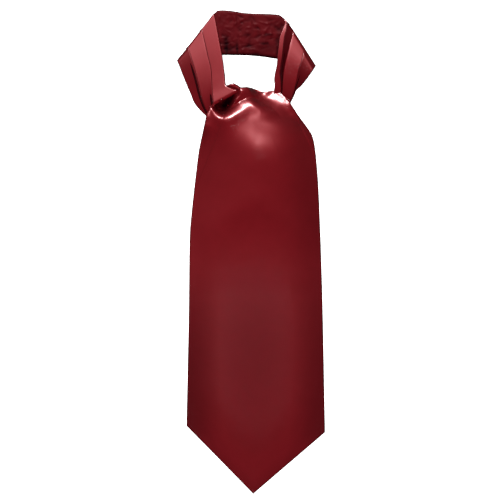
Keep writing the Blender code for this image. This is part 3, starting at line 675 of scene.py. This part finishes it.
# %% Rows from the crease to the knot
AROUND = np.radians([180.0, 158.0, 135.0, 112.0, 90.0, 68.0, 45.0, 22.0])
STRETCH_ROWS = 64
LEAST_CREASE = 0.0006
CURL_ANGLES = np.radians([15.0, 30.0, 45.0, 60.0, 75.0, 90.0, 105.0])
# painted shade down the curl, darkest where it turns under
CURL_PAINTED_SHADE = np.array([0.0, 0.0, 0.0, 0.1, 0.4, 0.8, 1.0])


def column_places(inner, outer, share, offset, height_at, middle):
    """Places of one column, round the crease and then along, with each row's share of the way."""
    length = run_length(inner)
    near_crease = height_at(0.0, inner[0, 1])
    radius = max(near_crease - middle, LEAST_CREASE)
    t = np.concatenate([radius * (1 - np.sin(AROUND)) / length,
                        np.linspace(radius / length, 1.0, STRETCH_ROWS)])
    turned = np.concatenate([np.cos(AROUND), np.ones(STRETCH_ROWS)])
    a = walk(inner, t)
    b = walk(outer, t)
    outward = (b - a) / np.linalg.norm(b - a, axis=-1, keepdims=True)
    place = a + share * (b - a) + offset * outward
    reach = np.where(turned < 0.0, middle - FLOOR_GAP, near_crease - middle)
    height = np.where(turned < 1.0, middle + reach * turned, height_at(t, place[:, 1]))
    return np.column_stack([place, height]), t


def pleated_stretch(pleats, middle, curl, towards):
    """Places and painted shade of a stretch: rows round the crease, along to the knot, and curled down there.

    The crease goes round at the middle height. The far end curls with the radius curl, and goes towards
    the plan direction given last.
    """
    places = []
    deep = []
    for inner, outer, share, offset, height_at, painted_dim in zigzag_columns(pleats):
        column, t = column_places(inner, outer, share, offset, height_at, middle)
        places.append(column)
        deep.append(spread(painted_dim, t))
    places = np.stack(places, axis=1)
    rows = [places]
    for angle in CURL_ANGLES:
        row = places[-1].copy()
        row[:, :2] += curl * np.sin(angle) * np.array(towards)
        row[:, 2] = np.maximum(row[:, 2] - curl * (1 - np.cos(angle)), FLOOR_GAP)
        rows.append(row[None])
    curl_painted_shade = CURL_PAINTED_SHADE[:, None].repeat(places.shape[1], axis=1)
    return np.concatenate(rows), np.clip(np.concatenate([np.stack(deep, axis=1), curl_painted_shade]), 0.0, 1.0)


left_places, left_painted_shade = pleated_stretch(LEFT_PLEATS, middle=0.0046, curl=0.0032, towards=(0.468, -0.884))
neck_left = cloth("neck_band_left", left_places, FACE, thick=BAND_THICK, smooth_levels=1,
                  hollow=left_painted_shade)
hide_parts("neck_left")
right_places, right_painted_shade = pleated_stretch(RIGHT_PLEATS, middle=0.0040, curl=0.0020, towards=(-0.10, -0.995))
neck_right = cloth("neck_band_right", right_places, FACE, thick=BAND_THICK, smooth_levels=1,
                   hollow=right_painted_shade)
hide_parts("neck_right")

# %% [markdown]
# ## The back of the neck
# Behind the neck the band shows its inside: duller satin, crumpled by wear, with short wrinkles a few
# millimetres long that run mostly along the band, and a lower edge that curls down to the surface.

# %% Crumpled inside of the band
BACK_TOP = ((-0.0402, 0.2566), (-0.0380, 0.2594), (-0.0342, 0.2611), (-0.0231, 0.2608), (-0.0063, 0.2583),
            (0.0123, 0.2574), (0.0247, 0.2570), (0.0308, 0.2560), (0.0368, 0.2515))
BACK_FOOT = ((-0.0677, 0.2128), (-0.0305, 0.2128), (-0.0063, 0.2124), (0.0061, 0.2116), (0.0184, 0.2101),
             (0.0278, 0.2088), (0.0610, 0.2066))
BACK_LEFT = ((-0.0402, 0.2566), (-0.0405, 0.2490), (-0.0440, 0.2425), (-0.0677, 0.2128))
BACK_RIGHT = ((0.0368, 0.2515), (0.0372, 0.2455), (0.0400, 0.2388), (0.0610, 0.2066))
BACK_COLUMNS = 150
BACK_ROWS = np.concatenate([[0.0, 0.006, 0.016, 0.03], np.linspace(0.05, 0.93, 62),
                            [0.955, 0.975, 0.99, 1.0]])
BAND_CLOTH = 0.0030       # the pleats of the band, one on the other
LEAST_BAND = 0.0006
BACK_PAINTED_SHADE = (
    # path, strengths along it, reach to its left, reach to its right: painted shade along the curled foot and
    # in creases
    (BACK_FOOT, (0.95, 1.0, 0.95, 0.95, 1.0, 0.95, 0.95), 0.0032, 0.0032),
    (((-0.0262, 0.2130), (-0.0260, 0.2200), (-0.0270, 0.2300), (-0.0280, 0.2370)),
     (0.9, 0.9, 0.8, 0.2), 0.0040, 0.0028),
    (((-0.0350, 0.2205), (-0.0100, 0.2205), (0.0150, 0.2190), (0.0280, 0.2180)),
     (0.3, 0.3, 0.3, 0.3), 0.0060, 0.0080),
    (((-0.0152, 0.2125), (-0.0150, 0.2200), (-0.0156, 0.2290)), (0.7, 0.8, 0.1), 0.0018, 0.0022),
    (((-0.0340, 0.2300), (-0.0250, 0.2200), (-0.0180, 0.2140)), (0.2, 0.6, 0.6), 0.0030, 0.0040),
    (((0.0300, 0.2100), (0.0290, 0.2250), (0.0310, 0.2400)), (0.9, 0.6, 0.4), 0.0030, 0.0040),
    (((0.0080, 0.2260), (0.0140, 0.2250), (0.0200, 0.2262)), (0.1, 0.8, 0.2), 0.0016, 0.0016),
    (((0.0120, 0.2330), (0.0190, 0.2350), (0.0250, 0.2340)), (0.1, 0.7, 0.1), 0.0014, 0.0016),
    (((-0.0100, 0.2330), (-0.0040, 0.2350), (0.0010, 0.2340)), (0.1, 0.5, 0.1), 0.0014, 0.0014),
)

# %% Wrinkles
WRINKLES = 150
WRINKLED = ((-0.036, 0.212), (0.036, 0.261))      # corners of the crumpled part
WRINKLE_TURN = 0.55       # spread of their directions about the band's own, in radians
CROSSWISE = 0.25          # share of them that lie across the band
WRINKLE_REACH = (0.0015, 0.0050)
WRINKLE_WIDTH = (0.0009, 0.0020)
WRINKLE_HEIGHT = (0.00020, 0.00055)
WRINKLE_DARK = 0.0012     # painted shade: a wrinkle this deep is painted as if it lost all its light
MOST_DARK = 0.6           # but none is painted darker than this share
rng = np.random.default_rng(11)


def wrinkle_field(plan, low, high, count):
    """Short soft wrinkles scattered between two corners, most of them lying along the band."""
    relief = np.zeros(plan.shape[:2])
    for _ in range(count):
        middle = rng.uniform(low, high)
        angle = rng.normal(0.0, WRINKLE_TURN) + (np.pi / 2 if rng.random() < CROSSWISE else 0.0)
        reach = rng.uniform(*WRINKLE_REACH)
        width = rng.uniform(*WRINKLE_WIDTH)
        height = rng.choice([-1.0, 1.0]) * rng.uniform(*WRINKLE_HEIGHT)
        along = (plan - middle) @ np.array([np.cos(angle), np.sin(angle)])
        aside = (plan - middle) @ np.array([-np.sin(angle), np.cos(angle)])
        relief += height * np.exp(-(along / reach) ** 2 - (aside / width) ** 2)
    return relief


left_edge, right_edge, top_edge, foot_edge = [
    curve_through(line) for line in (BACK_LEFT, BACK_RIGHT, BACK_TOP, BACK_FOOT)]
back_plan = patch(np.linspace(0.0, 1.0, BACK_COLUMNS), BACK_ROWS, left_edge, right_edge, top_edge, foot_edge,
                  top_fade=1.0, foot_fade=1.0)
wrinkles = wrinkle_field(back_plan, *WRINKLED, WRINKLES)
# painted shade in the troughs of the wrinkles
wrinkle_painted_shade = np.clip(-wrinkles / WRINKLE_DARK, 0.0, MOST_DARK)
back_painted_shade = np.clip(sink_and_shade_mask(back_plan, BACK_PAINTED_SHADE) + wrinkle_painted_shade, 0.0, 1.0)
print(f"back of the neck: {WRINKLES} wrinkles, {1000 * wrinkles.min():.1f} to {1000 * wrinkles.max():.1f} mm")

# %% The back stretch, its edges turned in
EDGE_ROUND = (
    # edge, width of its rounding, how far it goes down
    (top_edge, 0.0020, 0.0016), (foot_edge, 0.0050, 0.0021),
    (left_edge, 0.0020, 0.0014), (right_edge, 0.0020, 0.0014),
)
TURNED_IN = (
    # metres in from the edge, height: the cloth that turns in under the band
    (0.0060, 0.0004), (0.0012, 0.0004), (0.0001, 0.0008),
)
FOOT_TURN_TOP = 0.0005    # the foot's turn stays under this
back_height = BAND_CLOTH + wrinkles
for run, width, drop in EDGE_ROUND:
    back_height -= drop * rounded(np.abs(along_and_across(back_plan, run)[1]), width)
back_places = np.dstack([back_plan, np.maximum(back_height, LEAST_BAND)])
top_turn = back_places[:1].repeat(len(TURNED_IN), axis=0)
foot_turn = back_places[-1:].repeat(len(TURNED_IN), axis=0)
for row, (inward, height) in enumerate(TURNED_IN):
    top_turn[row, :, 1] -= inward
    top_turn[row, :, 2] = height
    foot_turn[-1 - row, :, 1] += inward
    foot_turn[-1 - row, :, 2] = np.minimum(height, FOOT_TURN_TOP)
back_places = np.concatenate([top_turn, back_places, foot_turn])
back_painted_shade = np.pad(back_painted_shade, ((len(TURNED_IN), len(TURNED_IN)), (0, 0)), mode="edge")
neck_back = cloth("neck_band_back", back_places, INSIDE, thick=BAND_THICK, hollow=back_painted_shade)
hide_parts("neck_back")

# %% [markdown]
# ## The fold at the throat
# The stretch that goes round behind the crossing comes up at the throat and shows as one narrow fold.

# %% Throat fold
WRAP_TOP = ((-0.0266, 0.1795), (-0.0238, 0.1803), (-0.0190, 0.1817), (-0.0152, 0.1801), (-0.0099, 0.1768),
            (-0.0044, 0.1746), (0.0053, 0.1725), (0.0170, 0.1698))
WRAP_FOOT = ((-0.0255, 0.1786), (-0.0214, 0.1780), (-0.0171, 0.1768), (-0.0141, 0.1750), (-0.0103, 0.1730),
             (-0.0044, 0.1706), (0.0053, 0.1688), (0.0170, 0.1660))
WRAP_HEIGHTS = (0.0150, 0.0166, 0.0150, 0.0120, 0.0085, 0.0040, 0.0012, 0.0008)
WRAP_SHAPE = (
    # how far from its top line to its foot line, share of its height, metres below that
    (0.25, 0.05, 0.0), (0.00, 0.30, 0.0), (-0.05, 0.60, 0.0), (0.00, 0.85, 0.0), (0.08, 1.0, 0.0008),
    (0.22, 1.0, 0.0002), (0.40, 1.0, 0.0), (0.60, 1.0, 0.0003), (0.80, 1.0, 0.0009), (0.95, 1.0, 0.0018),
    (1.02, 1.0, 0.0030), (1.05, 1.0, 0.0044), (1.20, 1.0, 0.0056), (1.80, 1.0, 0.0060), (2.60, 1.0, 0.0062),
)
WRAP_COLUMNS = 80
wrap_s = np.linspace(0.0, 1.0, WRAP_COLUMNS)
wrap_top = walk(curve_through(WRAP_TOP), wrap_s)
wrap_foot = walk(curve_through(WRAP_FOOT), wrap_s)
crest = spread(WRAP_HEIGHTS, wrap_s)
wrap_places = np.stack([np.column_stack([wrap_top + across * (wrap_foot - wrap_top),
                                         np.maximum(share * crest - below, FLOOR_GAP)])
                        for across, share, below in WRAP_SHAPE])
knot_wrap = cloth("throat_fold", wrap_places, FACE, thick=BAND_THICK)
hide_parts("knot_wrap")

# %% [markdown]
# ## What lies underneath
# The back blade lies flat under the front one, and the layers inside the knot fill the space under its
# swell. Both are hidden from above, so they are made as cloth but without small folds.

# %% Back blade
BACK_BLADE_HEAD = np.array([(-0.0530, 0.0190), (0.0600, 0.0190)])
BACK_BLADE_FOOT = np.array([(-0.0550, -0.1480), (0.0030, -0.2080), (0.0630, -0.1480)])
BACK_BLADE_COLUMNS = 41
BACK_BLADE_ROWS = 61
RIM_DROP = 0.0010         # how far each layer bends towards the other at the rim
back_blade_plan = patch(np.linspace(0.0, 1.0, BACK_BLADE_COLUMNS), np.linspace(0.0, 1.0, BACK_BLADE_ROWS),
                        np.stack([BACK_BLADE_HEAD[0], BACK_BLADE_FOOT[0]]),
                        np.stack([BACK_BLADE_HEAD[-1], BACK_BLADE_FOOT[-1]]),
                        BACK_BLADE_HEAD, BACK_BLADE_FOOT, TOP_FADE, FOOT_FADE)
rim = np.ones(back_blade_plan.shape[:2])
rim[1:-1, 1:-1] = 0.0
upper_layer = np.dstack([back_blade_plan, CLOTH - RIM_DROP * rim])
lower_layer = np.dstack([back_blade_plan, FLOOR_GAP + RIM_DROP * rim])[:, ::-1]
back_tube = np.concatenate([upper_layer, lower_layer[:, 1:]], axis=1)
back_blade = cloth("back_blade_tube", back_tube, FACE)
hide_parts("back_blade")

# %% Hidden layers of the knot
CORE_SECTIONS = (
    # y, left, right
    (0.1625, -0.0050, 0.0195),
    (0.1560, -0.0350, 0.0310),
    (0.1480, -0.0425, 0.0390),
    (0.1380, -0.0430, 0.0480),
    (0.1200, -0.0450, 0.0560),
    (0.0800, -0.0500, 0.0620),
    (0.0200, -0.0540, 0.0600),
)
CORE_ROWS = 90
CORE_COLUMNS = 70
CORE_BELOW = 2.2 * CLOTH  # how far under the blade's face the layers end
CORE_DROP = 0.0030        # how far their border rounds off, and over what width
CORE_ROUND = 0.0060
CORE_LOWEST = 0.0012
core_head_y = CORE_SECTIONS[0][0]
core_foot_y = CORE_SECTIONS[-1][0]
core_y = np.linspace(core_head_y, core_foot_y, CORE_ROWS)
core_s = np.linspace(0.0, 1.0, CORE_COLUMNS)[None, :]
core_left = section(CORE_SECTIONS, core_y, 1)[:, None]
core_width = section(CORE_SECTIONS, core_y, 2)[:, None] - core_left
core_plan = np.stack([core_left + core_s * core_width,
                      np.repeat(core_y[:, None], CORE_COLUMNS, axis=1)], axis=-1)
core_depth = np.minimum(np.minimum(core_s, 1 - core_s) * core_width,
                        np.minimum(core_head_y - core_y, core_y - core_foot_y)[:, None])
core_top = blade_face(core_plan) - CORE_BELOW - CORE_DROP * rounded(core_depth, CORE_ROUND)
core_upper = np.dstack([core_plan, np.maximum(core_top, CORE_LOWEST)])
core_lower = np.dstack([core_plan, np.full(core_top.shape, FLOOR_GAP)])[:, ::-1]
core_shell = np.concatenate([core_upper, core_lower, core_upper[:, :1]], axis=1)
knot_core = cloth("knot_layers", core_shell, FACE)
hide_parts("knot_core")

# %% [markdown]
# ## The stage
# A pale floor, a softbox beyond the neck end, a broad fill overhead, and a camera straight above. The lights
# share the work: the softbox is seen only in the sheen, and the fill lights the colour without a reflection.

# %% Floor, lights and camera
STAGE_WHITE = "#F7F6F5"
STAGE_SIZE = 3.0
STAGE_ROUGHNESS = 0.9
STAGE_GLOW = 0.85
WORLD_GLOW = 0.03
CAMERA_HEIGHT = 3.0
FRAME_WIDTH = 0.540
SENSOR_WIDTH = 36.0


def stage_floor():
    """A wide, pale floor that neither the sheen nor the colour of the cloth picks up."""
    bm = bmesh.new()
    bmesh.ops.create_grid(bm, x_segments=1, y_segments=1, size=STAGE_SIZE)
    mesh = bpy.data.meshes.new("floor")
    bm.to_mesh(mesh)
    bm.free()
    paper = bpy.data.materials.new("white paper sweep, matt")
    paper.use_nodes = True
    shader = paper.node_tree.nodes["Principled BSDF"]
    shader.inputs["Base Color"].default_value = linear(STAGE_WHITE)
    shader.inputs["Roughness"].default_value = STAGE_ROUGHNESS
    shader.inputs["Emission Color"].default_value = linear("#FFFFFF")
    shader.inputs["Emission Strength"].default_value = STAGE_GLOW
    mesh.materials.append(paper)
    floor = bpy.data.objects.new("floor", mesh)
    floor.visible_glossy = False
    floor.visible_diffuse = False
    bpy.context.scene.collection.objects.link(floor)
    return floor


def soft_light(name, place, aim, size, power):
    """A rectangular softbox that faces a point."""
    lamp = bpy.data.lights.new(name, "AREA")
    lamp.shape = "RECTANGLE"
    lamp.size, lamp.size_y = size
    lamp.energy = power
    holder = bpy.data.objects.new(name, lamp)
    holder.location = place
    direction = mathutils.Vector(aim) - mathutils.Vector(place)
    holder.rotation_euler = direction.to_track_quat("-Z", "Y").to_euler()
    bpy.context.scene.collection.objects.link(holder)
    return holder


stage_floor()
key = soft_light("key softbox", place=(-0.25, 1.55, 1.42), aim=(0.0, 0.05, 0.0), size=(0.6, 0.4), power=70.0)
key.visible_diffuse = False
overhead_fill = soft_light("overhead fill", place=(-0.1, 0.1, 2.4), aim=(0.0, 0.0, 0.0), size=(0.8, 0.8),
                           power=95.0)
overhead_fill.visible_glossy = False
world = bpy.data.worlds.new("studio")
world.use_nodes = True
background = world.node_tree.nodes["Background"]
background.inputs["Color"].default_value = linear("#FFFFFF")
background.inputs["Strength"].default_value = WORLD_GLOW
bpy.context.scene.world = world

lens = bpy.data.cameras.new("overhead camera")
lens.sensor_width = SENSOR_WIDTH
lens.lens = SENSOR_WIDTH * CAMERA_HEIGHT / FRAME_WIDTH
lens.clip_end = 20.0
overhead = bpy.data.objects.new("overhead camera", lens)
overhead.location = (-0.0011, 0.0024, CAMERA_HEIGHT)
bpy.context.scene.collection.objects.link(overhead)
bpy.context.scene.camera = overhead
bpy.context.scene.view_settings.view_transform = "Standard"
